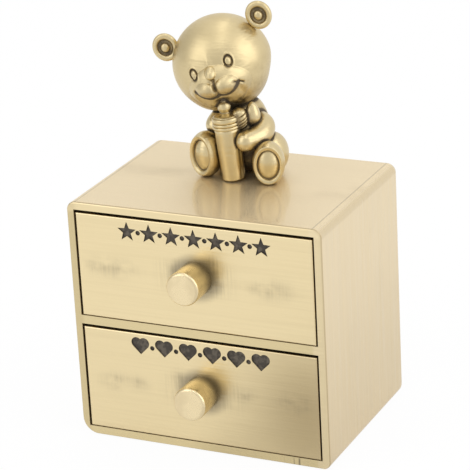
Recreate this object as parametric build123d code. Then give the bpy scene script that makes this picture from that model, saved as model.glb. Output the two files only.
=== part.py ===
from build123d import *
import math
import os

# A keepsake case with two drawers and a seated bear cub that drinks from a bottle.
# Millimetres. X to the right, Y to the back, Z up. Left and right are as seen from the front.
# The origin is the middle of the felt pad's underside, where the case rests.

# Case
case_width = 55.0
case_depth = 41.4
front_reach = 19.8
case_height = 50.8
side_wall = 1.54
top_wall = 1.61
bottom_wall = 1.77
divider_thickness = 1.83
divider_bar_depth = 2.2
lower_bay_height = 22.81
upper_corner_radius = 1.9
lower_left_radius = 3.4
lower_right_radius = 1.5
back_edge_radius = 2.5
front_edge_radius = 0.35
centre_offset = 0.3

# Divider shelf, let into grooves in the side walls
shelf_groove_depth = 0.5
shelf_gap = 0.05

# Back plate, its four screws and their bosses
back_plate_thickness = 1.4
back_rim = 0.5
back_plate_gap = 0.05
back_plate_setback = 0.2
boss_radius = 1.9
boss_length = 3.0
boss_inset = 2.5
back_screw_radius = 0.9
back_screw_head_radius = 1.7
back_screw_head_height = 0.9
back_screw_length = 3.6
screw_hole_gap = 0.05
slot_width = 0.5
slot_depth = 0.4

# Felt pad under the case
felt_thickness = 0.8
felt_recess = 0.5
felt_inset = 3.2
felt_corner_radius = 2.0

# Drawer fronts
front_thickness = 1.8
front_side_gap = 0.36
front_bottom_gap = 0.1
front_top_gap = 0.6
front_rounding = 0.3

# Drawer trays
tray_side_gap = 0.6
tray_back_gap = 1.7
tray_top_drop = 6.3
tray_wall = 0.8
tray_corner_radius = 1.2

# Knobs and their screws
knob_radius = 3.5
knob_length = 6.3
knob_rounding = 0.7
knob_hole_depth = 4.0
knob_screw_radius = 1.1
knob_screw_reach = 3.4
knob_screw_head_radius = 2.2
knob_screw_head_height = 1.3

# Drawer linings
liner_thickness = 0.8
liner_gap = 0.3

# Ornament cut into the drawer fronts: stars above, hearts below, with dots between
ornament_depth = 0.3
ornament_drop = 2.85
star_radius = 2.15
star_points = 5
star_waist_share = 0.42
heart_reach = 1.65
ornament_dot_radius = 0.5
star_pitch = 4.85
star_count = 7
heart_pitch = 5.3
heart_count = 6

# Bear: head
head_centre_x = -5.2
head_centre_y = 8.0
head_centre_rise = 22.85
head_half_width = 10.15
head_half_depth = 9.3
head_half_height = 9.9
head_turn = 13.0
head_tilt = -19.0
ear_out = 10.2
ear_rise = 6.15
ear_ring_radius = 2.2
ear_ring_thickness = 0.72
ear_web_half_depth = 0.35
ear_button_radius = 1.0
muzzle_half_width = 6.1
muzzle_half_depth = 3.9
muzzle_half_height = 3.9
muzzle_forward = 7.6
muzzle_drop = 2.6
lip_radius = 1.9
lip_half_depth = 1.5
lip_out = 1.8
lip_forward = 10.15
lip_drop = 3.1
nose_half_width = 1.2
nose_radius = 1.0
nose_forward = 10.9
nose_rise = 0.25
eye_angle_out = 23.0
eye_angle_up = 6.0
eye_pit_half_width = 1.05
eye_pit_half_depth = 0.6
eye_pit_half_height = 1.4
eye_half_width = 0.62
eye_half_height = 0.98
eye_half_depth = 0.62
eye_sink = 0.25
smile_radius = 0.28
smile_corner_out = 4.7
smile_corner_drop = 3.0
smile_low_out = 2.3
smile_low_drop = 5.05
smile_middle_drop = 4.1
mouth_gap = 0.12

# Bear: torso, its chest and the loose end of its neckerchief
torso_x = -0.4
torso_y = 8.4
torso_rise = 7.0
torso_half_width = 5.4
torso_half_depth = 5.0
torso_half_height = 7.4
chest_x = -0.5
chest_y = 8.3
chest_rise = 12.2
chest_half_width = 4.7
chest_half_depth = 4.3
chest_half_height = 3.8
scarf_x = 2.7
scarf_y = 4.4
scarf_rise = 13.65
scarf_radius = 1.38
scarf_half_height = 2.25

# Bear: legs
sole_out = 7.5
sole_y = 0.5
sole_rise = 4.7
sole_splay = 20.0
foot_back = 1.8
foot_half_width = 3.45
foot_half_depth = 3.6
foot_half_height = 4.8
hip_out = 5.2
hip_y = 7.0
hip_rise = 4.4
hip_half_width = 3.6
hip_half_depth = 4.2
hip_half_height = 4.5
sole_pit_half_width = 2.35
sole_pit_half_height = 3.2
sole_pit_depth = 0.45
sole_pad_half_width = 2.05
sole_pad_half_height = 2.85
sole_pad_half_depth = 0.55

# The hair gap left where two of the bear's pieces meet in a curved joint
joint_gap = 0.04

# Bear: arms, given by shoulder, elbow, wrist and paw
right_shoulder = (2.0, 8.0, 12.3)
right_elbow = (4.74, 5.5, 10.4)
right_paw = (2.5, 1.15, 8.2)
right_shoulder_radius = 2.35
right_elbow_radius = 2.15
right_paw_radius = 2.0
left_shoulder = (-4.9, 8.6, 11.4)
left_elbow = (-5.75, 4.7, 10.9)
left_wrist = (-1.2, 5.5, 11.9)
left_shoulder_radius = 2.0
left_elbow_radius = 1.85
left_wrist_radius = 1.5
hand_x = 1.75
hand_y = 2.5
hand_rise = 12.65
hand_half_width = 1.9
hand_half_depth = 1.5
hand_half_height = 2.0
finger_count = 4
finger_radius = 0.45
finger_pitch = 0.82
first_finger_rise = 10.5
finger_root_angle = 84.0
finger_tip_angle = 4.0
finger_wrap_gap = 0.15

# Bottle
bottle_x = -0.72
bottle_y = 1.6
bottle_lift = 0.25
bottle_side_lean = -4.33
bottle_back_lean = 0.8
bottle_foot_radius = 2.35
bottle_neck_radius = 2.5
bottle_body_length = 10.7
bottle_rounding = 0.4
collar_radius = 2.6
collar_ring_height = 0.83
collar_ring_count = 3
collar_groove_height = 0.18
collar_groove_depth = 0.3
teat_neck_radius = 1.0
teat_rise = 1.9
teat_radius = 1.35
teat_tip_radius = 0.7
teat_tip_reach = 2.3

# Screw that holds the bear to the top of the case
bear_screw_radius = 1.5
bear_screw_reach = 6.0
bear_screw_head_radius = 2.6
bear_screw_head_height = 1.4
bear_screw_slot_width = 0.7
bear_screw_slot_depth = 0.6

# Every cut runs this far past the face that it leaves
overrun = 1.0

# Places worked out from the sizes above
base_z = felt_thickness - felt_recess
top_z = base_z + case_height
front_y = -front_reach
back_y = front_y + case_depth
bay_half_width = case_width / 2 - side_wall
floor_z = base_z + bottom_wall
bar_z = floor_z + lower_bay_height
upper_floor_z = bar_z + divider_thickness
ceiling_z = top_z - top_wall
plate_back_y = back_y - back_plate_setback
plate_front_y = plate_back_y - back_plate_thickness
back_hole_half_width = case_width / 2 - back_edge_radius - back_rim
back_hole_low_z = base_z + back_edge_radius + back_rim
back_hole_high_z = top_z - back_edge_radius - back_rim
front_half_width = bay_half_width - front_side_gap
tray_half_width = bay_half_width - tray_side_gap
tray_front_y = front_y + front_thickness
tray_length = plate_front_y - boss_length - tray_back_gap - tray_front_y
bear_x = centre_offset


def block(x_low, x_high, y_low, y_high, z_low, z_high):
    """A box between six planes."""
    size = Box(x_high - x_low, y_high - y_low, z_high - z_low)
    return Pos((x_low + x_high) / 2, (y_low + y_high) / 2, (z_low + z_high) / 2) * size


def ovoid(half_width, half_depth, half_height):
    """An ellipsoid about the origin: a unit ball drawn out along each axis."""
    return scale(Sphere(1), by=(half_width, half_depth, half_height))


def rod(radius, y_low, y_high):
    """A round bar along Y."""
    return Pos(0, (y_low + y_high) / 2, 0) * Rot(X=90) * Cylinder(radius, y_high - y_low)


def limb(start, end, start_radius, end_radius):
    """Two balls joined by the cone that touches both, as one turned solid."""
    axis = Vector(*end) - Vector(*start)
    length = axis.length
    lean = math.asin((start_radius - end_radius) / length)
    low_rise = start_radius * math.sin(lean)
    high_rise = length + end_radius * math.sin(lean)
    low_side = (start_radius * math.cos(lean), low_rise)
    high_side = (end_radius * math.cos(lean), high_rise)
    low_turn = (lean - math.pi / 2) / 2
    high_turn = (lean + math.pi / 2) / 2
    low_mid = (start_radius * math.cos(low_turn), start_radius * math.sin(low_turn))
    high_mid = (end_radius * math.cos(high_turn), length + end_radius * math.sin(high_turn))
    low_arc = ThreePointArc((0, -start_radius), low_mid, low_side)
    side = Line(low_side, high_side)
    high_arc = ThreePointArc(high_side, high_mid, (0, length + end_radius))
    spine = Line((0, length + end_radius), (0, -start_radius))
    profile = make_face(Curve() + [low_arc, side, high_arc, spine])
    upright = Plane.XZ * profile
    turned = revolve(upright, axis=Axis.Z, revolution_arc=360)
    return Plane(origin=start, z_dir=axis) * turned


def on_case_top(point):
    """A point given from the bear's middle on the case top, as a point of the whole part."""
    return (bear_x + point[0], point[1], top_z + point[2])


# Case

def case_blank():
    """The outside of the case: each long corner has its own radius, rolled on round the back."""
    blank = block(-case_width / 2, case_width / 2, front_y, back_y, base_z, top_z)
    lower_edges = blank.edges().filter_by(Axis.Y).group_by(Axis.Z)[0].sort_by(Axis.X)
    blank = fillet(lower_edges[0], lower_left_radius)
    blank = blank & back_rounding(Axis.Z) & back_rounding(Axis.X)
    lower_edges = blank.edges().filter_by(Axis.Y).group_by(Axis.Z)[0].sort_by(Axis.X)
    blank = fillet(lower_edges[-1], lower_right_radius)
    blank = fillet(blank.edges().filter_by(Axis.Y).group_by(Axis.Z)[-1], upper_corner_radius)
    return fillet(blank.faces().sort_by(Axis.Y)[0].edges(), front_edge_radius)


def back_rounding(axis):
    """A block round the case whose two far edges along the axis are rounded."""
    wide = overrun if axis == Axis.X else 0
    tall = overrun if axis == Axis.Z else 0
    room = block(
        -case_width / 2 - wide,
        case_width / 2 + wide,
        front_y - overrun,
        back_y,
        base_z - tall,
        top_z + tall,
    )
    return fillet(room.edges().filter_by(axis).group_by(Axis.Y)[-1], back_edge_radius)


def boss_places():
    """Where the four back plate screws stand, as X and Z."""
    reach_x = back_hole_half_width - boss_inset
    low_z = back_hole_low_z + boss_inset
    high_z = back_hole_high_z - boss_inset
    return [(x, z) for x in (-reach_x, reach_x) for z in (low_z, high_z)]


def case_shell():
    shell = case_blank()
    bay_front = front_y - overrun
    shell -= block(-bay_half_width, bay_half_width, bay_front, plate_front_y, floor_z, bar_z)
    shell -= block(-bay_half_width, bay_half_width, bay_front, plate_front_y, upper_floor_z, ceiling_z)
    shell -= block(
        -bay_half_width,
        bay_half_width,
        front_y + divider_bar_depth,
        plate_front_y,
        floor_z,
        ceiling_z,
    )
    shell -= block(
        -back_hole_half_width,
        back_hole_half_width,
        plate_front_y - overrun,
        back_y + overrun,
        back_hole_low_z,
        back_hole_high_z,
    )
    groove_half_width = bay_half_width + shelf_groove_depth
    shell -= block(
        -groove_half_width,
        groove_half_width,
        front_y + divider_bar_depth,
        plate_front_y,
        bar_z,
        upper_floor_z,
    )
    for x, z in boss_places():
        shell += Pos(x, 0, z) * rod(boss_radius, plate_front_y - boss_length, plate_front_y)
        shell += boss_foot(x, z)
    for x, z in boss_places():
        hole = rod(back_screw_radius + screw_hole_gap, plate_front_y - boss_length - overrun, plate_front_y)
        shell -= Pos(x, 0, z) * hole
    shell -= felt_sheet(felt_recess, 0)
    return shell - fixing_hole()


def boss_foot(x, z):
    """The web that joins a boss to the corner of the bay."""
    x_wall = math.copysign(bay_half_width, x)
    z_wall = ceiling_z if z > bar_z else floor_z
    return block(
        min(x, x_wall),
        max(x, x_wall),
        plate_front_y - boss_length,
        plate_front_y,
        min(z, z_wall),
        max(z, z_wall),
    )


def divider_shelf():
    half_width = bay_half_width + shelf_groove_depth - shelf_gap
    shelf = block(
        -half_width,
        half_width,
        front_y + divider_bar_depth,
        plate_front_y,
        bar_z,
        upper_floor_z,
    )
    return shelf


def back_plate():
    half_width = back_hole_half_width - back_plate_gap
    plate = block(
        -half_width,
        half_width,
        plate_front_y,
        plate_back_y,
        back_hole_low_z + back_plate_gap,
        back_hole_high_z - back_plate_gap,
    )
    for x, z in boss_places():
        plate -= Pos(x, plate_back_y, z) * back_screw_shape(screw_hole_gap)
    return plate


def back_screw_shape(gap):
    """A countersunk screw along Y, its head flush at Y zero; the gap widens it for its hole."""
    shank = rod(back_screw_radius + gap, -back_screw_length, 0)
    taper = Cone(back_screw_radius + gap, back_screw_head_radius + gap, back_screw_head_height)
    return shank + Pos(0, -back_screw_head_height / 2, 0) * Rot(X=-90) * taper


def back_plate_screws():
    screws = []
    for x, z in boss_places():
        slot = Box(back_screw_head_radius * 2, slot_depth * 2, slot_width)
        screws.append(Pos(x, plate_back_y, z) * (back_screw_shape(0) - slot))
    return Compound(children=screws)


def felt_sheet(thickness, lift):
    """A rounded sheet under the case, its top face the lift below the felt recess's roof."""
    outline = RectangleRounded(
        case_width - felt_inset * 2, (front_reach - felt_inset) * 2, felt_corner_radius
    )
    low = base_z + felt_recess - lift - thickness
    return Pos(0, 0, low) * extrude(outline, thickness)


# Drawers

def star_outline():
    """A star with its first point up."""
    corners = []
    for step in range(star_points * 2):
        reach = star_radius if step % 2 == 0 else star_radius * star_waist_share
        turn = math.pi / 2 + step * math.pi / star_points
        corners.append((reach * math.cos(turn), reach * math.sin(turn)))
    return make_face(Polyline(*corners, close=True))


def heart_outline():
    """A square on its point, with a half round on each of its upper sides."""
    tip = (0, -heart_reach)
    right_side = Line(tip, (heart_reach, 0))
    right_arc = ThreePointArc((heart_reach, 0), (heart_reach, heart_reach), (0, heart_reach))
    left_arc = ThreePointArc((0, heart_reach), (-heart_reach, heart_reach), (-heart_reach, 0))
    left_side = Line((-heart_reach, 0), tip)
    return make_face(Curve() + [right_side, right_arc, left_arc, left_side])


def ornament_row(outline, pitch, count, z):
    """A row of one figure with dots between, as cutters in the face of a drawer front."""
    row = []
    dot = Circle(ornament_dot_radius)
    for step in range(count):
        row.append((outline, (step - (count - 1) / 2) * pitch))
    for step in range(count - 1):
        row.append((dot, (step - (count - 2) / 2) * pitch))
    cutters = []
    for shape, x in row:
        face = Plane(origin=(centre_offset + x, front_y - overrun, z), x_dir=(1, 0, 0), z_dir=(0, -1, 0))
        cutters.append(extrude(face * shape, -ornament_depth - overrun))
    return cutters


def drawer_front(low_z, front_height, cutters):
    front = block(
        -front_half_width,
        front_half_width,
        front_y,
        front_y + front_thickness,
        low_z,
        low_z + front_height,
    )
    front = fillet(front.faces().sort_by(Axis.Y)[0].edges(), front_rounding)
    for cutter in cutters:
        front -= cutter
    return front - knob_hole(low_z + front_height / 2)


def knob_hole(axis_z):
    hole = rod(knob_screw_radius + screw_hole_gap, front_y - overrun, tray_front_y + tray_wall + overrun)
    return Pos(centre_offset, 0, axis_z) * hole


def drawer_tray(low_z, tray_height, axis_z):
    tray = block(
        -tray_half_width,
        tray_half_width,
        tray_front_y,
        tray_front_y + tray_length,
        low_z,
        low_z + tray_height,
    )
    tray = fillet(tray.faces().sort_by(Axis.Y)[-1].edges().filter_by(Axis.Z), tray_corner_radius)
    inside = tray_inside(low_z + tray_wall, tray_height, 0)
    return tray - inside - knob_hole(axis_z)


def tray_inside(low_z, height, gap):
    """The room in a tray, drawn in from its walls by the gap."""
    half_width = tray_half_width - tray_wall - gap
    room = block(
        -half_width,
        half_width,
        tray_front_y + tray_wall + gap,
        tray_front_y + tray_length - tray_wall - gap,
        low_z,
        low_z + height,
    )
    inner_radius = tray_corner_radius - tray_wall
    return fillet(room.faces().sort_by(Axis.Y)[-1].edges().filter_by(Axis.Z), inner_radius)


def knob(axis_z):
    body = rod(knob_radius, front_y - knob_length, front_y)
    body = fillet(body.faces().sort_by(Axis.Y)[0].edges(), knob_rounding)
    body -= rod(knob_screw_radius + screw_hole_gap, front_y - knob_hole_depth, front_y + overrun)
    return Pos(centre_offset, 0, axis_z) * body


def knob_screw(axis_z):
    seat_y = tray_front_y + tray_wall
    shank = rod(knob_screw_radius, front_y - knob_screw_reach, seat_y)
    head = rod(knob_screw_head_radius, seat_y, seat_y + knob_screw_head_height)
    slot_y = seat_y + knob_screw_head_height
    slot = Pos(0, slot_y, 0) * Box(slot_width, slot_depth * 2, knob_screw_head_radius * 2)
    return Pos(centre_offset, 0, axis_z) * (shank + head - slot)


def drawer_pieces(prefix, bay_floor, bay_roof, outline, pitch, count):
    """One drawer: its front, tray, knob, knob screw and lining."""
    low_z = bay_floor + front_bottom_gap
    front_height = bay_roof - front_top_gap - low_z
    axis_z = low_z + front_height / 2
    cutters = ornament_row(outline, pitch, count, low_z + front_height - ornament_drop)
    return {
        prefix + "_front": drawer_front(low_z, front_height, cutters),
        prefix + "_tray": drawer_tray(low_z, front_height - tray_top_drop, axis_z),
        prefix + "_knob": knob(axis_z),
        prefix + "_knob_screw": knob_screw(axis_z),
        prefix + "_liner": tray_inside(low_z + tray_wall, liner_thickness, liner_gap),
    }


# Bottle

def bottle_frame():
    place = Pos(bear_x + bottle_x, bottle_y, top_z + bottle_lift)
    return place * Rot(Y=bottle_side_lean) * Rot(X=bottle_back_lean)


def collar_top():
    return bottle_body_length + collar_ring_height * collar_ring_count


def feeding_bottle():
    """Body, ringed collar and teat, turned about the bottle's own axis."""
    body = Cone(bottle_foot_radius, bottle_neck_radius, bottle_body_length)
    body = Pos(0, 0, bottle_body_length / 2) * body
    body = fillet(body.faces().sort_by(Axis.Z)[0].edges(), bottle_rounding)
    for ring in range(collar_ring_count):
        low = bottle_body_length + ring * collar_ring_height
        groove = Cylinder(collar_radius - collar_groove_depth, collar_groove_height)
        body += Pos(0, 0, low + collar_groove_height / 2) * groove
        ring_height = collar_ring_height - collar_groove_height
        band = Cylinder(collar_radius, ring_height)
        band = fillet(band.edges().filter_by(GeomType.CIRCLE), collar_groove_height)
        body += Pos(0, 0, low + collar_groove_height + ring_height / 2) * band
    teat_z = collar_top() + teat_rise
    body += Pos(0, 0, collar_top() + teat_rise / 2) * Cylinder(teat_neck_radius, teat_rise)
    body += Pos(0, 0, teat_z) * Sphere(teat_radius)
    body += Pos(0, 0, teat_z + teat_tip_reach / 2) * Cylinder(teat_tip_radius, teat_tip_reach)
    return bottle_frame() * body


def teat_room():
    """The teat and its tip with the mouth's clearance, to cut the head."""
    teat_z = collar_top() + teat_rise
    reach = teat_tip_reach + mouth_gap * 2
    room = Pos(0, 0, teat_z) * Sphere(teat_radius + mouth_gap)
    room += Pos(0, 0, teat_z + reach / 2) * Cylinder(teat_tip_radius + mouth_gap, reach)
    room += Pos(0, 0, collar_top() + teat_rise / 2) * Cylinder(teat_neck_radius + mouth_gap, teat_rise)
    return bottle_frame() * room


def bottle_room():
    """The bottle's body and collar without their small grooves, to cut what lies against them."""
    body = Cone(bottle_foot_radius + joint_gap, bottle_neck_radius + joint_gap, bottle_body_length)
    collar_height = collar_ring_height * collar_ring_count
    collar = Cylinder(collar_radius + joint_gap, collar_height)
    room = Pos(0, 0, bottle_body_length / 2) * body
    room += Pos(0, 0, bottle_body_length + collar_height / 2) * collar
    return bottle_frame() * room


# Bear

def head_frame():
    """The head's own frame: its face looks along minus Y, turned and tilted on the neck."""
    place = Pos(bear_x + head_centre_x, head_centre_y, top_z + head_centre_rise)
    return place * Rot(Z=head_turn) * Rot(Y=head_tilt)


def skull():
    return ovoid(head_half_width, head_half_depth, head_half_height)


def skull_reach(out, up):
    """How far the skull's surface lies from its centre in a direction given by two angles."""
    across = math.sin(math.radians(out)) * math.cos(math.radians(up)) / head_half_width
    ahead = math.cos(math.radians(out)) * math.cos(math.radians(up)) / head_half_depth
    above = math.sin(math.radians(up)) / head_half_height
    return 1 / math.sqrt(across**2 + ahead**2 + above**2)


def muzzle_face(x, drop):
    """How far ahead of the head's centre the muzzle's surface lies, at a place on the face."""
    across = x / muzzle_half_width
    above = (muzzle_drop - drop) / muzzle_half_height
    return muzzle_forward + muzzle_half_depth * math.sqrt(1 - across**2 - above**2)


def ear(side):
    """A rolled rim round a thin web, with a button in the middle."""
    rim = Rot(X=90) * Torus(ear_ring_radius, ear_ring_thickness)
    web = rod(ear_ring_radius, -ear_web_half_depth, ear_web_half_depth)
    button = Pos(0, -ear_web_half_depth, 0) * Sphere(ear_button_radius)
    return Pos(side * ear_out, 0, ear_rise) * (rim + web + button)


def eye_frame(side):
    turn = Rot(Z=side * eye_angle_out) * Rot(X=-eye_angle_up)
    return turn * Pos(0, -skull_reach(eye_angle_out, eye_angle_up), 0)


def smile_path(side):
    """Half of the smile: from its corner, round under one cheek, to the middle."""
    corner_y = -muzzle_face(smile_corner_out, smile_corner_drop)
    corner = (side * smile_corner_out, corner_y, -smile_corner_drop)
    low = (side * smile_low_out, -muzzle_face(smile_low_out, smile_low_drop), -smile_low_drop)
    middle = (0, -muzzle_face(0, smile_middle_drop), -smile_middle_drop)
    return ThreePointArc(corner, low, middle)


def smile_groove(side):
    path = smile_path(side)
    section = Plane(origin=path @ 0, z_dir=path % 0) * Circle(smile_radius)
    return sweep(section, path=path)


def bear_head():
    face = skull()
    for side in (-1, 1):
        face += ear(side)
    face += Pos(0, -muzzle_forward, -muzzle_drop) * ovoid(
        muzzle_half_width, muzzle_half_depth, muzzle_half_height
    )
    for side in (-1, 1):
        face += Pos(side * lip_out, -lip_forward, -lip_drop) * ovoid(lip_radius, lip_half_depth, lip_radius)
    face += Pos(0, -nose_forward, nose_rise) * ovoid(nose_half_width, nose_radius, nose_radius)
    for side in (-1, 1):
        face -= eye_frame(side) * ovoid(eye_pit_half_width, eye_pit_half_depth, eye_pit_half_height)
        bead = ovoid(eye_half_width, eye_half_depth, eye_half_height)
        face += eye_frame(side) * (Pos(0, eye_sink, 0) * bead)
    for side in (-1, 1):
        face -= smile_groove(side)
    return head_frame() * face - teat_room()


def head_room():
    """The skull in its place with the joint's gap, to cut what it rests on."""
    room = ovoid(head_half_width + joint_gap, head_half_depth + joint_gap, head_half_height + joint_gap)
    return head_frame() * room


def torso_form(gap):
    """Belly and chest, grown by the gap."""
    belly = ovoid(torso_half_width + gap, torso_half_depth + gap, torso_half_height + gap)
    chest = ovoid(chest_half_width + gap, chest_half_depth + gap, chest_half_height + gap)
    belly_place = Pos(*on_case_top((torso_x, torso_y, torso_rise)))
    chest_place = Pos(*on_case_top((chest_x, chest_y, chest_rise)))
    return belly_place * belly + chest_place * chest


def above_top(shape):
    """Keep only what stands above the case top."""
    reach = case_width + case_depth
    return shape - block(-reach, reach, -reach, reach, top_z - reach, top_z)


def fixing_hole():
    """The hole for the fixing screw, through the case top and into the torso."""
    low_z = ceiling_z - overrun
    high_z = ceiling_z + bear_screw_reach + screw_hole_gap
    hole = Cylinder(bear_screw_radius + screw_hole_gap, high_z - low_z)
    return Pos(bear_x + torso_x, torso_y, (low_z + high_z) / 2) * hole


def bear_torso():
    scarf = ovoid(scarf_radius, scarf_radius, scarf_half_height)
    body = torso_form(0) + Pos(*on_case_top((scarf_x, scarf_y, scarf_rise))) * scarf
    body = above_top(body) - head_room() - bottle_room()
    body -= left_arm_form(joint_gap)
    body -= right_arm_form(joint_gap)
    return body - fixing_hole()


def sole_frame(side):
    place = Pos(*on_case_top((side * sole_out, sole_y, sole_rise)))
    return place * Rot(Z=side * sole_splay)


def bear_leg(side):
    """A foot with an upright sole and a raised pad, and the hip behind it."""
    foot = Pos(0, foot_back, 0) * ovoid(foot_half_width, foot_half_depth, foot_half_height)
    foot -= block(
        -foot_half_width * 2,
        foot_half_width * 2,
        -foot_half_depth * 2,
        0,
        -foot_half_height * 2,
        foot_half_height * 2,
    )
    pit = extrude(Plane.XZ * Ellipse(sole_pit_half_width, sole_pit_half_height), -sole_pit_depth)
    pad = Pos(0, sole_pit_depth, 0) * ovoid(sole_pad_half_width, sole_pad_half_depth, sole_pad_half_height)
    foot = foot - pit + pad
    hip = Pos(*on_case_top((side * hip_out, hip_y, hip_rise))) * ovoid(
        hip_half_width, hip_half_depth, hip_half_height
    )
    leg = above_top(sole_frame(side) * foot + hip)
    leg -= torso_form(joint_gap)
    if side > 0:
        leg -= right_arm_form(joint_gap)
    return leg - bottle_room()


def right_arm_form(gap):
    """The arm at the right, grown by the gap: shoulder, elbow and a paw against the bottle."""
    shoulder = on_case_top(right_shoulder)
    elbow = on_case_top(right_elbow)
    paw = on_case_top(right_paw)
    upper = limb(shoulder, elbow, right_shoulder_radius + gap, right_elbow_radius + gap)
    return upper + limb(elbow, paw, right_elbow_radius + gap, right_paw_radius + gap)


def bear_right_arm():
    return right_arm_form(0) - left_arm_form(joint_gap) - head_room() - bottle_room()


def finger(rise):
    """A finger that starts in the hand and wraps the collar towards its front."""
    wrap = collar_radius + finger_wrap_gap + finger_radius
    root = math.radians(finger_root_angle - 90)
    tip = math.radians(finger_tip_angle - 90)
    middle = (root + tip) / 2
    points = [(wrap * math.cos(turn), wrap * math.sin(turn), rise) for turn in (root, middle, tip)]
    path = ThreePointArc(*points)
    section = Plane(origin=path @ 0, z_dir=path % 0) * Circle(finger_radius)
    shape = sweep(section, path=path)
    return bottle_frame() * (shape + Pos(*points[-1]) * Sphere(finger_radius))


def left_arm_form(gap):
    """The arm at the left, grown by the gap: it passes behind the bottle to the hand."""
    shoulder = on_case_top(left_shoulder)
    elbow = on_case_top(left_elbow)
    wrist = on_case_top(left_wrist)
    hand = on_case_top((hand_x, hand_y, hand_rise))
    arm = limb(shoulder, elbow, left_shoulder_radius + gap, left_elbow_radius + gap)
    arm += limb(elbow, wrist, left_elbow_radius + gap, left_wrist_radius + gap)
    arm += limb(wrist, hand, left_wrist_radius + gap, hand_half_depth + gap)
    palm = ovoid(hand_half_width + gap, hand_half_depth + gap, hand_half_height + gap)
    return arm + Pos(*hand) * palm


def bear_left_arm():
    arm = left_arm_form(0) - head_room() - bottle_room()
    for step in range(finger_count):
        arm += finger(first_finger_rise + step * finger_pitch)
    return arm


def bear_fixing_screw():
    """The screw that comes up through the case top into the torso."""
    seat_z = ceiling_z
    shank = Pos(0, 0, bear_screw_reach / 2) * Cylinder(bear_screw_radius, bear_screw_reach)
    head = Pos(0, 0, -bear_screw_head_height / 2) * Cylinder(bear_screw_head_radius, bear_screw_head_height)
    slot = Box(bear_screw_head_radius * 2, bear_screw_slot_width, bear_screw_slot_depth * 2)
    screw = shank + head - Pos(0, 0, -bear_screw_head_height) * slot
    return Pos(bear_x + torso_x, torso_y, seat_z) * screw


def all_pieces():
    pieces = {
        "case_shell": case_shell(),
        "divider_shelf": divider_shelf(),
        "back_plate": back_plate(),
        "back_plate_screws": back_plate_screws(),
        "base_felt": felt_sheet(felt_thickness, 0),
        "bear_torso": bear_torso(),
        "bear_head": bear_head(),
        "bear_left_arm": bear_left_arm(),
        "bear_right_arm": bear_right_arm(),
        "bear_left_leg": bear_leg(-1),
        "bear_right_leg": bear_leg(1),
        "feeding_bottle": feeding_bottle(),
        "bear_fixing_screw": bear_fixing_screw(),
    }
    stars = (star_outline(), star_pitch, star_count)
    hearts = (heart_outline(), heart_pitch, heart_count)
    pieces.update(drawer_pieces("upper", upper_floor_z, ceiling_z, *stars))
    pieces.update(drawer_pieces("lower", floor_z, bar_z, *hearts))
    return pieces


os.makedirs("parts", exist_ok=True)
for node, shape in all_pieces().items():
    export_step(shape, "parts/" + node + ".step")
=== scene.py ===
import math

import bpy
import numpy as np
from mathutils import Matrix, Vector


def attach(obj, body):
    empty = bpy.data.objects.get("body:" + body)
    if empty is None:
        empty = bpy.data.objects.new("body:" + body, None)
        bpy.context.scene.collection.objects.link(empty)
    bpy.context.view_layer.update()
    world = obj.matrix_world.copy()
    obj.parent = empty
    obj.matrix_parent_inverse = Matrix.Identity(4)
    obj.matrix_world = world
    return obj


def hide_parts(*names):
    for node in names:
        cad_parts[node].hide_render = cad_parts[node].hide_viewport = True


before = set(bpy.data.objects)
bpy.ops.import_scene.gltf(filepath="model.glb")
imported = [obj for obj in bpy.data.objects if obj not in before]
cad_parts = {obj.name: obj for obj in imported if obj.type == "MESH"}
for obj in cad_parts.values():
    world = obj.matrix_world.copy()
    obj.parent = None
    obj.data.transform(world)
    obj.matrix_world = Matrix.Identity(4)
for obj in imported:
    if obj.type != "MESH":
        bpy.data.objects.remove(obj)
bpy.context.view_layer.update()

# Sizes are in millimetres and become metres in the meshes and materials.
MM = 0.001

# Case and drawers
front_y = -19.8
top_z = 51.1
knob_x = 0.3
knob_axis_z = {"upper": 37.85, "lower": 13.225}
knob_face_y = (-25.5, -25.9)
knob_foot_y = (-22.5, -20.0)
ornament_z = {"upper": 46.04, "lower": 21.43}
ornament_half_height = 2.5
ornament_half_width = 18.0

# Depths behind a drawer front's face between which the ornament's dark fill begins, and ends
ornament_floor = (0.06, 0.14)
ornament_back = (0.9, 0.8)

# Bear's middle on the case top, which the bear's places below are measured from
bear_x = 0.3
clearance_above_top = 0.02

# Head, in its own frame: X to the right as seen from the front, minus Y ahead, Z up
head_centre = (-5.2, 8.0, 22.85)
head_turn = 13.0
head_tilt = -19.0
head_half = (10.15, 9.3, 9.9)
head_rows = 276
head_columns = 300
head_squeeze = 0.45
skull_drop = 0.45
cheek_draw = 0.055
jaw_shade = 0.34
dull_head_z = (64.0, 69.0)

# Face, on the head's front. A place there is its X and Z, then its half width and half height.
muzzle_half = (6.6, 4.85)
muzzle_drop = 3.2
muzzle_height = 2.0
muzzle_shade = 0.32
lip_out = 2.35
lip_drop = 2.9
lip_half = (2.35, 2.0)
lip_height = 1.1
under_lip_depth = 0.75
nose_place = (0.0, 0.45, 1.2, 1.3)
nose_height = 0.95
cleft_half_width = 0.4
cleft_depth = 0.45
eye_out = 3.83
eye_rise = {-1: 0.75, 1: 1.3}
eye_half = (0.8, 1.13)
eye_height = 0.3
eye_groove = 0.93
eye_groove_depth = 0.36
eye_lid = 1.3
eye_lid_height = 0.08
mouth_line = [
    (4.5, -3.0), (4.1, -3.6), (3.5, -4.15), (2.7, -4.65), (1.8, -4.85), (0.9, -4.8), (0.0, -4.5),
]
mouth_tick = [(3.95, -2.75), (5.05, -3.75)]
mouth_half_width = 0.2
mouth_depth = 0.5
far_mouth_rise = 0.3

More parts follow.
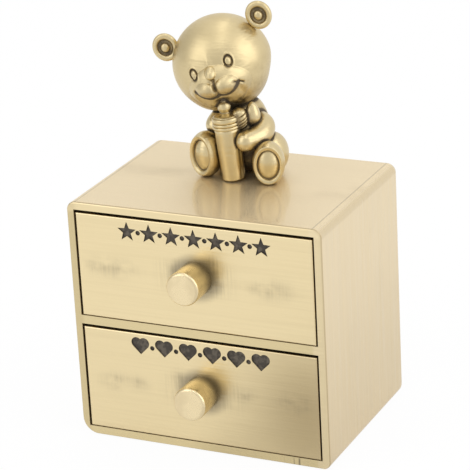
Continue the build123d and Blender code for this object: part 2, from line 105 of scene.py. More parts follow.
# Bells on the face: each one's place, and how far it is pushed ahead
face_bells = {
    "bridge": (0.0, 2.1, 0.7, 1.5, 0.35),
    "chin": (-3.4, -6.7, 2.6, 1.5, 0.9),
    "jowl": (3.6, -6.6, 2.4, 1.6, 0.5),
    "teat_hollow": (-0.45, -6.15, 1.5, 0.75, -1.1),
    "throat": (-0.8, -7.9, 1.9, 1.5, -0.9),
    "under_nose": (0.0, -1.1, 0.9, 0.4, -0.3),
}
bell_darkness = {"teat_hollow": 0.9, "under_nose": 0.6}
cleft_darkness = 0.8

ear_places = {-1: (-9.94, 6.16), 1: (10.75, 6.4)}
ear_width_share = 0.91
ear_darkness = 0.76

# Body
belly_centre = (-0.4, 8.4, 7.0)
belly_half = (5.4, 5.0, 7.4)
chest_centre = (-0.5, 8.3, 12.2)
chest_half = (3.8, 3.8, 3.5)
torso_foot = -0.4
torso_height = 16.4
torso_shade = 0.95
scarf_centre = (2.85, 4.2, 13.55)
scarf_half = (1.6, 1.5, 2.4)
scarf_taper = 0.3
sole_centre = {-1: (-7.5, 0.5, 4.7), 1: (7.75, -0.1, 4.3)}
sole_splay = 20.0
foot_half = {-1: (3.4, 3.6, 4.8), 1: (3.3, 3.6, 4.55)}
foot_back = 1.8
sole_groove = 0.655
hip_centre = (5.2, 7.0, 4.4)
hip_half = (3.6, 4.2, 4.5)

# Arms: the middle line from the shoulder to the hand, and the radius at each of its joints
right_arm_joints = [(1.4, 7.9, 11.5), (4.15, 6.3, 10.4), (4.4, 3.8, 9.2), (2.75, 0.95, 8.65)]
right_arm_radii = (2.0, 2.35, 2.3, 2.1)
left_arm_joints = [(-5.2, 8.0, 11.9), (-6.05, 5.2, 9.8), (-2.4, 5.7, 10.9), (0.6, 3.6, 12.4)]
left_arm_radii = (2.0, 1.85, 1.4, 1.4)

# Hand on the bottle's collar, with four slits between its fingers
hand_centre = (0.6, 2.85, 12.7)
hand_half = (1.8, 1.85, 2.25)
hand_turn = 26.0
hand_squareness = 0.8
slit_rises = (0.6, -0.35, -1.05, -1.75)
slit_slope = 0.62
slit_half_width = 0.13
slit_depth = 0.28
slit_darkness = 0.8

# Bottle
bottle_foot = (-0.72, 1.6, 0.25)
bottle_side_lean = -4.7
bottle_back_lean = 0.8
bottle_radius = 2.35
bottle_flare = 0.27
bottle_edge = 0.4
body_height = 10.25
collar_radius = 2.85
collar_ribs = ((10.75, 0.62), (11.45, 0.62), (12.15, 1.0))
rib_reach = 0.16
collar_darkness = 0.7

# Patina and painted shade: a lattice of small cells round the bear, in which what lies near each point
# is counted
cell_size = 0.3
lattice_low = np.array([-16.0, -5.0, 49.0])
lattice_cells = (96, 84, 130)
near_spread = 2
wide_spread = 14
top_near_share = 0.35
top_wide_share = 0.5
line_darkness = 0.95
shade_darkness = {"bear_head": 0.85, "feeding_bottle": 0.12}
usual_shade_darkness = 0.66
hand_reach = 2.4
hand_relief = 0.75

# Sheets of cloth
sheet_thickness = 0.8
sheet_edge = 0.35
liner_size = (48.52, 31.1)
liner_corner = 0.4
liner_middle_y = -1.35
liner_z = {"upper": 27.61, "lower": 2.97}
felt_size = (48.6, 33.2)
felt_corner = 2.0

# Where the tints of the case begin and where each is full
case_places = {
    "rim_top": (48.6, 49.6),
    "side_foot": (46.0, 4.0),
    "left_rim": (-25.0, -26.2),
    "right_rim": (24.5, 25.3),
    "band_depth": (6.0, 1.0),
    "band_width": (13.0, 17.0),
    "scratch_width": (4.2, 2.2),
    "scratch_height": (2.4, 1.6),
    "inside_depth": (-18.5, -16.5),
    "inside_width": (26.3, 25.8),
    "inside_height": (50.0, 49.6),
    "front_edge": (-19.4, -19.5),
    "shoulder": (48.8, 49.4),
    "seam": (0.2, 0.1),
}
top_band_middle = (4.0, 1.5)
scratch_middle = 21.3
seam_place = 25.6

# How strongly each tint covers the case
case_tints = {
    "side": 0.09,
    "side_foot": 0.2,
    "streaks": 0.03,
    "clouds": 0.04,
    "left_rim": 0.2,
    "right_rim": 0.5,
    "top_band": 0.2,
    "scratches": 0.65,
    "inside": 0.5,
    "front_edge": 0.5,
    "shoulder": 0.16,
    "seam": 0.25,
}

# Smoke on each drawer front: X, Z, half width, half height and strength of each patch.
# The halo is round the knob, the wings to both sides of it.
smoke_places = {
    "upper": [
        (-17.6, 37.9, 4.5, 1.9, 0.4),
        (-22.3, 38.0, 2.0, 1.6, 0.3),
        (16.2, 37.4, 4.5, 1.9, 0.4),
        (3.8, 41.6, 1.8, 1.3, 0.6),
        (5.1, 37.8, 1.6, 2.2, 0.5),
        (-3.9, 39.6, 1.3, 1.8, 0.4),
    ],
    "lower": [
        (-19.2, 13.0, 3.0, 1.6, 0.45),
        (-13.7, 13.2, 1.8, 1.3, 0.4),
        (20.2, 13.8, 3.6, 2.0, 0.4),
        (9.3, 13.7, 2.6, 1.5, 0.4),
        (-4.3, 16.0, 1.6, 1.4, 0.5),
    ],
}
right_shade_x = 24.0
right_shade_drop = 2.0
right_shade_half = (13.0, 16.0)
right_shade = {"upper": 0.0, "lower": 0.62}
even_shade = {"upper": 0.0, "lower": 0.05}
halo_reach = (6.6, 3.7)
halo_height_share = 1.3
wing_width = (10.5, 4.5)
wing_height = (4.6, 1.8)


def colour(red, green, blue):
    """A plain colour without transparency."""
    return (red, green, blue, 1.0)


# BRASS, TOP_BRASS and, on the case's rim, FRONT_BRASS and SHADED_RIM_BRASS are copies of one brass for
# each facing of the case: painted light and shade
BRASS = colour(0.85, 0.71, 0.475)
FRONT_BRASS = colour(0.84, 0.70, 0.425)
TOP_BRASS = colour(0.81, 0.69, 0.48)
# Darker copy for the rim round the drawers: painted shade
SHADED_RIM_BRASS = colour(0.72, 0.60, 0.345)
BEAR_BRASS = colour(0.67, 0.55, 0.315)
STEEL = colour(0.62, 0.60, 0.56)
SMOKE = colour(0.13, 0.11, 0.085)
# Warm brown: tarnish, and also painted shade on the case's sides, rims, bays and edges and in the bear's
# recesses
WARM_SMOKE_AND_SHADE = colour(0.36, 0.27, 0.14)
INK = colour(0.06, 0.05, 0.04)
# Near-black brown: deep patina in the bear's creases, and painted shade in its recesses
DEEP_PATINA_AND_SHADE = colour(0.075, 0.055, 0.035)
WHITE = colour(1, 1, 1)
FLOOR_WHITE = colour(0.88, 0.88, 0.88)
ALONG_X = (1.0, 0.0, 0.0)
ALONG_KNOB = (0.3, 0.0, 0.95)

# Floor, room and softboxes
floor_reach = 3.0
floor_seen = 0.95
floor_mirrored = 0.62
floor_dimming = 0.22
floor_dim_towards = (0.5, -0.866, 0.0)
left_wall = (-0.98, -0.1, 0.0)
left_wall_dimming = 0.34
camera_wall = (0.16, -0.93, 0.34)
camera_wall_dimming = 0.18
softbox_distance = 0.9
middle_height = 0.045

# Each softbox: azimuth from the front to the right, elevation, width and height in metres, brightness
softboxes = {
    "left_softbox": (-42, 30, 0.5, 0.8, 0.92),
    "right_softbox": (88, 28, 0.7, 0.9, 1.02),
    "top_softbox": (20, 86, 0.12, 1.3, 1.7),
}

# Camera, in metres and as the directions to its right, up and back
camera_place = (0.20086, -0.4165, 0.2176)
camera_right = (0.9077, 0.4166, -0.0501)
camera_up = (-0.1075, 0.3463, 0.9319)
camera_back = (0.4056, -0.8405, 0.3591)
camera_lens = 187.04


# Surfaces

def soft_step(value, low, high):
    """0 below low, 1 above high, and the cubic 3t^2 - 2t^3 between."""
    share = np.clip((value - low) / (high - low), 0, 1)
    return share * share * (3 - 2 * share)


def offsets(x, z, place):
    """Squares of the offsets from a place's middle over its half width and half height, added."""
    out, rise, half_width, half_height = place
    return ((x - out) / half_width) ** 2 + ((z - rise) / half_height) ** 2


def bell(x, z, place):
    """exp(-u^2 - v^2), with u and v the offsets over the half sizes."""
    return np.exp(-offsets(x, z, place))


def cap(x, z, place):
    """1 - u^2 - v^2 inside the place's ellipse and 0 outside."""
    return np.clip(1 - offsets(x, z, place), 0, 1)


def ridge(value, middle, half_width):
    """exp(-u^2) of one offset over its half width."""
    return np.exp(-(((value - middle) / half_width) ** 2))


def from_bear(points):
    """A place over the bear's middle on the case top."""
    return points + np.array([bear_x, 0, top_z])


def placed(points, turns, centre):
    """Points of a form, turned about axes in degrees and then moved to its centre on the bear."""
    matrix = np.eye(3)
    for axis, degrees in turns:
        matrix = matrix @ np.array(Matrix.Rotation(math.radians(degrees), 3, axis))
    return from_bear(points @ matrix.T + np.array(centre))


def head_place(points):
    """Points of the head's own frame, tilted to the side and turned, at the head's centre."""
    return placed(points, [("Z", head_turn), ("Y", head_tilt)], head_centre)


def resting(points):
    """Flattens what would reach below the case top."""
    points[..., 2] = np.maximum(points[..., 2], top_z + clearance_above_top)
    return points


def around(columns):
    """Even turns about a full circle, without the last, which is the first again."""
    return np.arange(columns) * 2 * math.pi / columns


def polar_grid(rows, columns, squeeze=0.0):
    """Polar angle down the rows, closer together near its start, and turn angle round the columns."""
    share = np.linspace(0, 1, rows)
    polar = math.pi * ((1 - squeeze) * share + squeeze * share**2)
    return np.meshgrid(polar, around(columns), indexing="ij")


def egg(half, taper=0.0, rows=60, columns=72):
    """An ellipsoid (a sin p cos t, b sin p sin t, c cos p), thinner towards its top by the taper."""
    polar, turn = polar_grid(rows, columns)
    rise = np.cos(polar)
    width = np.sin(polar) * (1 - taper * rise)
    across = half[0] * width * np.cos(turn)
    along = half[1] * width * np.sin(turn)
    return np.stack([across, along, half[2] * rise], axis=-1)


def arc(middle, half, start, end, count):
    """Profile points (r + a sin t, h - b cos t), with t from start to end in count even steps."""
    turn = np.linspace(start, end, count)
    radius = middle[0] + half[0] * np.sin(turn)
    height = middle[1] - half[1] * np.cos(turn)
    return np.stack([radius, height], axis=-1).tolist()


def turned(profile, columns=96):
    """A profile of (radius, height) points spun about Z."""
    profile = np.array(profile, float)
    turn = around(columns)
    radius = profile[:, 0][:, None]
    height = np.repeat(profile[:, 1][:, None], columns, axis=1)
    return np.stack([radius * np.cos(turn), radius * np.sin(turn), height], axis=-1)


def eased(points, count):
    """A smooth curve through points at count even steps.

    Each span is a cubic whose slope at a point is half the way between that point's neighbours.
    """
    points = np.array(points, float)
    padded = np.vstack([2 * points[0] - points[1], points, 2 * points[-1] - points[-2]])
    place = np.linspace(0, len(points) - 1, count)
    span = np.minimum(place.astype(int), len(points) - 2)
    step = (place - span)[:, None]
    before, start, end, after = (padded[span + offset] for offset in range(4))
    cubic = -before + 3 * start - 3 * end + after
    square = 2 * before - 5 * start + 4 * end - after
    return start + step / 2 * (end - before) + step**2 / 2 * square + step**3 / 2 * cubic


def limb(joints, radii, rows=90, columns=64, cap_rows=14):
    """A round section carried along a smooth path, its radius eased between the joints.

    Past both ends it closes as a half ball: at an angle t it lies r sin t beyond the last
    joint and has the radius r cos t, with r the radius at that end.
    """
    path = eased(joints, rows)
    radius = eased(np.array(radii, float)[:, None], rows)[:, 0]
    ahead = np.gradient(path, axis=0)
    ahead /= np.linalg.norm(ahead, axis=1)[:, None]
    quarter_turn = np.linspace(0, math.pi / 2, cap_rows)
    opening, closing = quarter_turn[:-1], quarter_turn[1:]
    first = path[0] - np.cos(opening)[:, None] * radius[0] * ahead[0]
    last = path[-1] + np.sin(closing)[:, None] * radius[-1] * ahead[-1]
    line = np.vstack([first, path, last])
    size = np.concatenate([np.sin(opening) * radius[0], radius, np.cos(closing) * radius[-1]])
    heading = np.vstack([np.tile(ahead[0], (len(first), 1)), ahead, np.tile(ahead[-1], (len(last), 1))])
    side = np.cross(heading, [0, 0, 1.0])
    side /= np.linalg.norm(side, axis=1)[:, None]
    up = np.cross(side, heading)
    turn = around(columns)
    ring = side[:, None, :] * np.cos(turn)[None, :, None] + up[:, None, :] * np.sin(turn)[None, :, None]
    return line[:, None, :] + ring * size[:, None, None]


def line_distance(x, z, points):
    """Distance of places on the face from a line through points, the least over its spans."""
    points = np.array(points, float)
    start = points[:-1]
    run = points[1:] - start
    offset_x = x[..., None] - start[:, 0]
    offset_z = z[..., None] - start[:, 1]
    share = (offset_x * run[:, 0] + offset_z * run[:, 1]) / (run**2).sum(1)
    share = np.clip(share, 0, 1)
    return np.hypot(offset_x - share * run[:, 0], offset_z - share * run[:, 1]).min(-1)


def muzzle_push(x, z):
    """The muzzle, its lips and the nose: a mound over a rounded diamond with three caps on it.

    Below the line of the smile it is drawn in.
    """
    reach = (np.abs(x) / muzzle_half[0]) ** 1.6 + (np.abs(z + muzzle_drop) / muzzle_half[1]) ** 1.8
    push = muzzle_height * np.clip(1 - reach, 0, 1) ** 0.65
    for side in (-1, 1):
        push += lip_height * cap(x, z, (side * lip_out, -lip_drop) + lip_half) ** 0.75
    push += nose_height * cap(x, z, nose_place) ** 0.6
    smile = np.array(mouth_line)
    smile_z = np.interp(np.abs(x), smile[::-1, 0], smile[::-1, 1])
    under = soft_step(smile_z - z, -0.1, 0.5) * soft_step(z, -8.2, -5.2)
    under *= soft_step(-np.abs(x), -5.4, -3.8)
    # The lower muzzle is made darker: painted shade
    dark = muzzle_shade * soft_step(1 - reach, 0.0, 0.3) * soft_step(-z, 1.5, 3.0)
    return push - under_lip_depth * under, dark


def mouth_push(x, z):
    """The smile as a groove along its line, wider in the middle and on the far side."""
    far = soft_step(-x, 0.5, 3.0)
    smile_gap = line_distance(np.abs(x), z - far_mouth_rise * far, mouth_line)
    groove = np.minimum(smile_gap, line_distance(x, z, mouth_tick))
    width = mouth_half_width + 0.14 * ridge(x, 0, 1.6) + 0.16 * far
    depth = mouth_depth + 0.3 * ridge(x, 0, 1.4)
    fill = np.clip(1.6 * ridge(smile_gap, 0, width + 0.1 + 0.08 * far), 0, 1)
    return -depth * ridge(groove, 0, width + 0.08), np.maximum(fill, ridge(groove, 0, width + 0.05))


def eye_push(x, z, side):
    """An eye: a low button in a ring-shaped groove, with a faint lid round it."""
    ring = np.hypot((x - side * eye_out) / eye_half[0], (z - eye_rise[side]) / eye_half[1])
    button = eye_height * np.clip(1 - (ring / 0.8) ** 2, 0, 1) ** 0.6
    groove = eye_groove_depth * ridge(ring, eye_groove, 0.2)
    return button - groove + eye_lid_height * ridge(ring, eye_lid, 0.2), ridge(ring, eye_groove, 0.24)


def face_push(x, z):
    """How far the face stands ahead of the plain skull at a place on it, and how dark it is.

    The pushes of its features are added up, and the darkest of them counts.
    """
    push, dark = muzzle_push(x, z)
    cleft = ridge(x, 0, cleft_half_width) * soft_step(z, -4.9, -4.2) * soft_step(-z, 0.6, 1.3)
    push -= cleft_depth * cleft
    dark = np.maximum(dark, cleft_darkness * cleft)
    for name, (*place, height) in face_bells.items():
        mound = bell(x, z, place)
        push += height * mound
        dark = np.maximum(dark, bell_darkness.get(name, 0.0) * mound)
    for own_push, own_dark in (mouth_push(x, z), eye_push(x, z, -1), eye_push(x, z, 1)):
        push += own_push
        dark = np.maximum(dark, own_dark)
    return push, dark


def head_form():
    """The skull as an ellipsoid with its poles ahead and behind, pushed ahead by the face."""
    polar, turn = polar_grid(head_rows, head_columns, head_squeeze)
    across = head_half[0] * np.sin(polar) * np.cos(turn)
    above = head_half[2] * np.sin(polar) * np.sin(turn) - skull_drop
    across *= 1 - cheek_draw * soft_step(across, 2.0, 9.0) * soft_step(-above, 0.5, 6.0)
    behind = -head_half[1] * np.cos(polar)
    push, dark = face_push(across, above)
    front = soft_step(np.cos(polar), 0.0, 0.4)
    # The lower half of the head is made darker: painted shade
    jaw = jaw_shade * soft_step(-above, 0.5, 6.0)
    return np.stack([across, behind - push * front, above], axis=-1), np.maximum(dark * front, jaw)


def ear_form(side):
    """A button, a dish and a rolled rim spun about the ear's axis, closed behind."""
    button = arc((0.0, -0.35), (1.0, 0.7), 0.0, 1.45, 14)
    dish = [(1.1, -0.25), (1.35, -0.12), (1.6, -0.2)]
    rim = arc((2.3, -0.15), (0.64, 0.64), math.pi / 2 - 2.75, math.pi / 2 + 0.6, 26)
    back = [(2.5, 0.75), (1.9, 1.0), (1.0, 1.15), (0.0, 1.2)]
    points = turned(button + dish + rim + back, 96)
    depth = points[..., 2]
    radius = np.hypot(points[..., 0], points[..., 1])
    dark = soft_step(radius, 0.65, 1.15) * soft_step(-radius, -2.0, -1.6) * soft_step(-depth, -0.1, 0.1)
    out, rise = ear_places[side]
    ear = np.stack([points[..., 0] * ear_width_share + out, depth, points[..., 1] + rise], axis=-1)
    return ear, ear_darkness * dark


def foot_form(half):
    """A sole with a raised pad, spun about the foot's own axis and drawn out to an ellipse.

    Its profile is in shares of the half sizes; the pad rises as the power 2.2 of its share.
    """
    pad = [(share, -0.3 + 0.75 * (share / 0.6) ** 2.2) for share in np.linspace(0, 0.6, 16)]
    groove = [(0.625, 0.52), (0.65, 0.58), (0.675, 0.5), (0.695, 0.22)]
    rim = [(0.71, 0.08), (0.74, 0.02), (0.79, -0.04), (0.83, -0.1), (0.855, -0.1), (0.875, -0.02)]
    heel = arc((0.0, foot_back), (1.0, half[1]), math.pi / 2 - 0.46, math.pi, 34)
    points = turned(pad + groove + rim + heel, 120)
    share = np.hypot(points[..., 0], points[..., 1])
    depth = points[..., 2]
    dark = ridge(share, sole_groove, 0.035) * soft_step(-depth, -1.0, -0.7)
    return np.stack([points[..., 0] * half[0], depth, points[..., 1] * half[2]], axis=-1), dark


def leg_forms(side):
    """A foot and an egg-shaped hip, both flattened on the case top."""
    foot, foot_dark = foot_form(foot_half[side])
    foot = placed(foot, [("Z", side * sole_splay)], sole_centre[side])
    hip = from_bear(egg(hip_half) + np.array([side * hip_centre[0], hip_centre[1], hip_centre[2]]))
    return [(resting(foot), foot_dark), plain(resting(hip))]


def torso_form(rows=90, columns=96):
    """Belly and chest as one pear: at each height the wider of two ellipses, softly joined.

    Its half width is the eighth root of the sum of theirs to the eighth power.
    """
    rise = torso_foot + torso_height * (0.5 - np.cos(np.linspace(0, 1, rows) * math.pi) / 2)
    turn = around(columns)

    def half_width(axis):
        """The pear's half width along one axis at each height."""
        total = 0
        for centre, half in ((belly_centre, belly_half), (chest_centre, chest_half)):
            width = half[axis] * np.sqrt(np.clip(1 - ((rise - centre[2]) / half[2]) ** 2, 0, 1))
            total = total + width**8
        return total ** (1 / 8)

    x = belly_centre[0] + half_width(0)[:, None] * np.cos(turn)
    y = belly_centre[1] + half_width(1)[:, None] * np.sin(turn)
    z = np.repeat(np.maximum(rise, clearance_above_top)[:, None], len(turn), axis=1)
    # The belly's lower front, in the recess between legs and bottle, is made darker: painted shade
    dark = torso_shade * soft_step(-z, -9.0, -7.0) * soft_step(-y, -8.0, -6.0)
    return resting(from_bear(np.stack([x, y, z], axis=-1))), dark


def bottle_form():
    """The bottle's profile spun about its axis: body, ribbed collar, shoulder and teat."""
    edge = (bottle_edge, bottle_edge)
    foot = arc((bottle_radius - bottle_edge, bottle_edge), edge, 0.0, math.pi / 2, 8)
    body = [
        (bottle_radius + bottle_flare * share, bottle_edge + body_height * share)
        for share in np.linspace(0.02, 1, 20)
    ]
    collar = []
    for low, height in collar_ribs:
        rib = arc((collar_radius - 0.14, low + height / 2), (rib_reach, height / 2), 0.0, math.pi, 12)
        groove_radius = collar_radius - 0.3
        collar += [(groove_radius, low - 0.04)] + rib + [(groove_radius, low + height + 0.03)]
    shoulder = [(2.5, 13.3), (2.2, 13.48), (1.6, 13.68), (1.2, 13.85), (1.0, 14.0), (0.98, 14.12)]
    teat = arc((0.0, 15.15), (1.35, 1.35), 0.85, 2.55, 20)
    tip = [(0.7, 16.6), (0.66, 17.1), (0.4, 17.35), (0.0, 17.4)]
    points = turned([(0.0, 0.0)] + foot + body + collar + shoulder + teat + tip, 128)
    height = points[..., 2]
    radius = np.hypot(points[..., 0], points[..., 1])
    grooves = soft_step(-radius, -2.73, -2.55) * soft_step(height, 10.6, 10.7)
    grooves *= soft_step(-height, -13.4, -13.1)
    dark = collar_darkness * np.maximum(grooves, ridge(height, 14.05, 0.2))
    return placed(points, [("Y", bottle_side_lean), ("X", bottle_back_lean)], bottle_foot), dark


def hand_form():
    """A squarish egg whose front has four slits, each a narrow bell along a slanted line."""
    polar, turn = polar_grid(140, 120)

    def square(value):
        """A sine or cosine drawn towards 1 or -1."""
        return np.sign(value) * np.abs(value) ** hand_squareness

    across = hand_half[0] * square(np.sin(polar)) * square(np.cos(turn))
    behind = hand_half[1] * square(np.sin(polar)) * square(np.sin(turn))
    above = hand_half[2] * np.cos(polar)
    ahead = soft_step(-behind, 0.1, 0.8) * soft_step(across, -0.75, 0.1)
    slits = sum(ridge(above - slit_slope * across, rise, slit_half_width) for rise in slit_rises) * ahead
    hand = np.stack([across, behind + slit_depth * slits, above], axis=-1)
    return placed(hand, [("Z", hand_turn)], hand_centre), slit_darkness * slits


def sheet_form(width, length, corner):
    """A flat sheet with rounded corners and edges: its outline drawn in to the middle on both faces."""
    quarter_turn = np.linspace(0, math.pi / 2, 12)
    turn = np.concatenate([quarter_turn + quarter * math.pi / 2 for quarter in range(4)])
    quarter_sign = np.repeat([(1, 1), (-1, 1), (-1, -1), (1, -1)], len(quarter_turn), axis=0)
    middle = quarter_sign * np.array([width / 2 - corner, length / 2 - corner])
    outward = np.stack([np.cos(turn), np.sin(turn)], axis=-1)
    inner = np.linspace(0, 1, 10)[:, None, None] * (middle + outward * (corner - sheet_edge))
    edge = np.linspace(0, math.pi, 9)[1:-1]
    rounding = corner - sheet_edge + np.sin(edge)[:, None, None] * sheet_edge
    outline = np.concatenate([inner, middle + outward * rounding, inner[::-1]])
    half = sheet_thickness / 2
    height = np.concatenate([np.full(len(inner), half), np.cos(edge) * half, np.full(len(inner), -half)])
    return np.dstack([outline, np.repeat(height[:, None], outline.shape[1], axis=1)])


def plain(points):
    """A form with no darkness of its own."""
    return points, np.zeros(points.shape[:2])


# Meshes

def shell(points):
    """Vertices and faces of a grid whose columns close and whose first and last rows are poles.

    Each pole becomes one vertex with a fan of triangles, and all faces are made to point outwards.
    """
    rows, columns = points.shape[:2]
    middle = points[1:-1].reshape(-1, 3)
    vertices = np.vstack([points[0].mean(0), middle, points[-1].mean(0)])
    row, column = np.meshgrid(np.arange(rows - 3), np.arange(columns), indexing="ij")
    after = (column + 1) % columns
    near, far = row * columns, (row + 1) * columns
    corners = [near + column, near + after, far + after, far + column]
    quads = np.stack([corner.ravel() + 1 for corner in corners], axis=1)
    here = np.arange(columns)
    beside = (here + 1) % columns
    last = len(vertices) - 1
    low = last - columns
    first_fan = np.stack([np.zeros(columns, int), beside + 1, here + 1], axis=1)
    last_fan = np.stack([np.full(columns, last), low + here, low + beside], axis=1)
    centre = vertices.mean(0)
    a, b, c = (vertices[quads[:, i]] - centre for i in range(3))
    if np.einsum("ij,ij->i", a, np.cross(b, c)).sum() < 0:
        quads, first_fan, last_fan = quads[:, ::-1], first_fan[:, ::-1], last_fan[:, ::-1]
    return vertices, quads.tolist() + first_fan.tolist() + last_fan.tolist()


def gather(forms):
    """Joins (points, darkness) grids into one list of vertices, faces and darkness."""
    vertices, faces, darkness, count = [], [], [], 0
    for points, dark in forms:
        own_vertices, own_faces = shell(points)
        faces += [[corner + count for corner in face] for face in own_faces]
        vertices.append(own_vertices)
        darkness.append(np.concatenate([[dark[0].mean()], dark[1:-1].ravel(), [dark[-1].mean()]]))
        count += len(own_vertices)
    return np.vstack(vertices), faces, np.concatenate(darkness)


def make_piece(name, vertices, faces, patina_and_shade, finish, body, nodes):
    """A smooth mesh with its darkness as an attribute, in place of its CAD nodes and on their body."""
    mesh = bpy.data.meshes.new(name)
    mesh.from_pydata((vertices * MM).tolist(), [], faces)
    mesh.polygons.foreach_set("use_smooth", np.ones(len(faces), bool))
    layer = mesh.attributes.new("patina_and_shade", "FLOAT", "POINT")
    layer.data.foreach_set("value", patina_and_shade.astype(np.float32))
    mesh.materials.append(finish)
    mesh.update()
    piece = bpy.data.objects.new(name, mesh)
    bpy.context.scene.collection.objects.link(piece)
    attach(piece, body)
    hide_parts(*nodes)
    return piece


def make_sheet(node, size, corner, place, slot_name, finish, body, resting_on):
    """A laid sheet in place of its node; the place is its middle's Y and its underside's Z."""
    middle_y, low_z = place
    points = sheet_form(size[0], size[1], corner) + np.array([0, middle_y, low_z + sheet_thickness / 2])
    vertices, faces, dark = gather([plain(points)])
    piece = make_piece(node + "_cloth", vertices, faces, dark, finish, body, [node])


# Patina and painted shade

def lattice_value(lattice, vertices):
    """The lattice between its cells' middles, each point weighing the eight cells round it."""
    place = np.clip((vertices - lattice_low) / cell_size - 0.5, 0, np.array(lattice_cells) - 1.001)
    cell = place.astype(int)
    share = place - cell
    total = np.zeros(len(vertices))
    for corner in np.ndindex(2, 2, 2):
        weight = np.prod(np.where(corner, share, 1 - share), axis=1)
        x, y, z = (cell + np.array(corner)).T
        total += weight * lattice[x, y, z]
    return total


def spread(lattice, times):
    """Blurs a lattice by adding each cell's neighbours along the three axes."""
    for _ in range(times):
        for axis in range(3):
            lattice = lattice / 2 + (np.roll(lattice, 1, axis) + np.roll(lattice, -1, axis)) / 4
    return lattice


def occupied(vertices):
    """1 in each lattice cell that holds a point of the surface."""
    lattice = np.zeros(lattice_cells)
    cells = np.floor((vertices - lattice_low) / cell_size).astype(int)
    cells = np.clip(cells, 1, np.array(lattice_cells) - 2)
    lattice[cells[:, 0], cells[:, 1], cells[:, 2]] = 1
    return lattice


def case_top_lattice():
    """The case top as one layer of filled cells under the bear."""
    lattice = np.zeros(lattice_cells)
    lattice[:, :, int((top_z - lattice_low[2]) / cell_size)] = 1
    return lattice


def crease_darkness(parts):
    """For each part, how much of the other parts and the case top lies round each vertex.

    A near count makes the dark lines where parts meet, a wide one the shade in the recesses.
    Between the hand and the collar both are let off.
    """
    solid = {name: occupied(part[0]) for name, part in parts.items()}
    near = {name: spread(lattice, near_spread) for name, lattice in solid.items()}
    wide = {name: spread(lattice, wide_spread) for name, lattice in solid.items()}
    all_near = sum(near.values()) + top_near_share * spread(case_top_lattice(), near_spread)
    all_wide = sum(wide.values()) + top_wide_share * spread(case_top_lattice(), wide_spread)
    held = from_bear(np.array(hand_centre))
    result = {}
    for name, (vertices, _, dark) in parts.items():
        line = soft_step(lattice_value(all_near - near[name], vertices), 0.03, 0.24)
        shade = soft_step(lattice_value(all_wide - wide[name], vertices), 0.03, 0.2)
        shade = shade * shade_darkness.get(name, usual_shade_darkness)
        crease = np.maximum(line_darkness * line, shade)
        if name in ("bear_left_arm", "feeding_bottle"):
            crease = crease * (1 - hand_relief * np.exp(-(((vertices - held) / hand_reach) ** 2).sum(1)))
        result[name] = np.maximum(dark, crease)
    return result


# Finishes

class Value:
    """A socket's number. Sums, differences, products and quotients of it add Math nodes."""

    def __init__(self, shades, socket):
        self.shades = shades
        self.socket = socket

    def _with(self, operation, first, second):
        """A Math node of two values, which may be plain numbers."""
        return self.shades.node("ShaderNodeMath", {"operation": operation}, {0: first, 1: second})

    def __add__(self, other):
        return self._with("ADD", self, other)

    __radd__ = __add__

    def __sub__(self, other):
        return self._with("SUBTRACT", self, other)

    def __rsub__(self, other):
        return self._with("SUBTRACT", other, self)

    def __mul__(self, other):
        return self._with("MULTIPLY", self, other)

    __rmul__ = __mul__

    def __truediv__(self, other):
        return self._with("DIVIDE", self, other)

    def __rtruediv__(self, other):
        return self._with("DIVIDE", other, self)

    def __abs__(self):
        return self._with("ABSOLUTE", self, 0)


class Shades:
    """A node tree with the common textures, masks and mixes."""

    def __init__(self, tree):
        self.tree = tree
        self.tree.nodes.clear()

    def node(self, kind, settings, inputs, output=0):
        """Adds a node: its settings first, then values or links for its sockets."""
        node = self.tree.nodes.new(kind)
        for key, value in settings.items():
            setattr(node, key, value)
        for key, value in inputs.items():
            if isinstance(value, Value):
                self.tree.links.new(value.socket, node.inputs[key])
            else:
                node.inputs[key].default_value = value
        return Value(self, node.outputs[output]) if node.outputs else None

    def parts(self, vector):
        """The three numbers of a vector."""
        split = self.node("ShaderNodeSeparateXYZ", {}, {0: vector}).socket.node
        return [Value(self, output) for output in split.outputs]

    def joined(self, x, y, z):
        """A vector from three numbers."""
        return self.node("ShaderNodeCombineXYZ", {}, {0: x, 1: y, 2: z})

    def vector(self, operation, first, second, output=0):
        """A vector sum, product, cross product or, at the Value output, dot product."""
        return self.node("ShaderNodeVectorMath", {"operation": operation}, {0: first, 1: second}, output)

    def scaled(self, vector, factor):
        """A vector times a number."""
        return self.node("ShaderNodeVectorMath", {"operation": "SCALE"}, {0: vector, "Scale": factor})

    def unit(self, vector):
        """A vector over its length."""
        return self.node("ShaderNodeVectorMath", {"operation": "NORMALIZE"}, {0: vector})

    def step(self, value, low, high):
        """0 below low and 1 above high, smooth between; low may be the larger."""
        kind = {"interpolation_type": "SMOOTHSTEP"}
        if low < high:
            return self.node("ShaderNodeMapRange", kind, {"Value": value, 1: low, 2: high})
        return 1 - self.node("ShaderNodeMapRange", kind, {"Value": value, 1: high, 2: low})

    def mix(self, factor, first, second):
        """A colour between two colours: first (1 - factor) + second factor."""
        settings = {"data_type": "RGBA", "clamp_factor": True}
        return self.node("ShaderNodeMix", settings, {0: factor, 6: first, 7: second}, 2)

    def ray(self, kind):
        """1 for one kind of ray, such as the camera's own."""
        return self.node("ShaderNodeLightPath", {}, {}, kind)

    def show(self, shader, output):
        """Ends the tree in an output node."""
        self.node(output, {}, {"Surface": shader})


